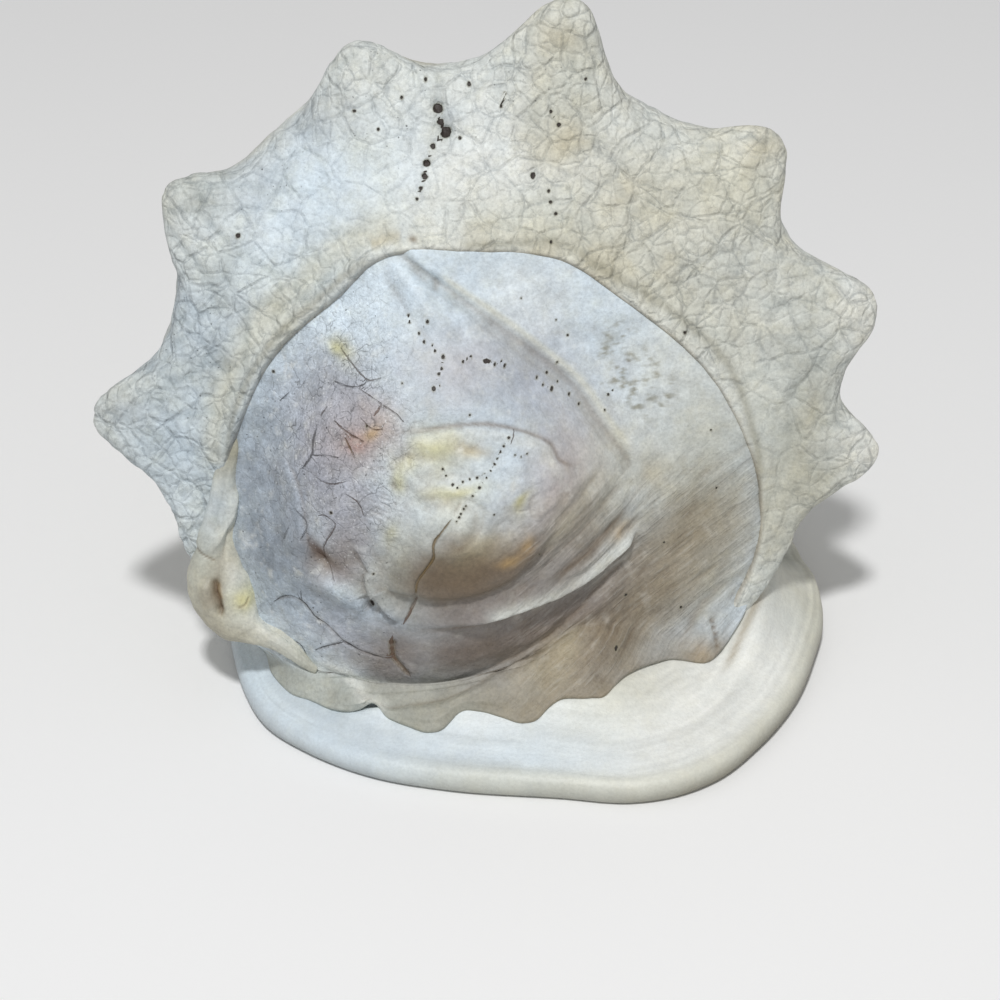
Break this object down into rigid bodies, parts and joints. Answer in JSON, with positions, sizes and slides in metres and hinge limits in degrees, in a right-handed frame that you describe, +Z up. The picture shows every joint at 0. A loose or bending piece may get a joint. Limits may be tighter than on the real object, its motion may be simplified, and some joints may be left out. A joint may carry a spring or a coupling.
{
  "type": "horned helmet shell",
  "caption": "Large horned sea snail shell lying on its flat shield, with blunt shoulder horns, a low spire and a long narrow mouth underneath.",
  "frame": {"origin": "centre of the shell's bounding box, on the surface that its shield and outer lip lie on", "axes": "-Y towards the spire, +Y towards the siphonal canal, +X towards the outer lip, +Z up through the back of the shell"},
  "size_m": [0.2066, 0.2538, 0.1814],
  "materials": {
    "shell": "bleached, wrinkled shell lime on the back, smooth and faintly glossy on the shield"
  },
  "bodies": {
    "root": {"shell": "shell"}
  },
  "joints": []
}
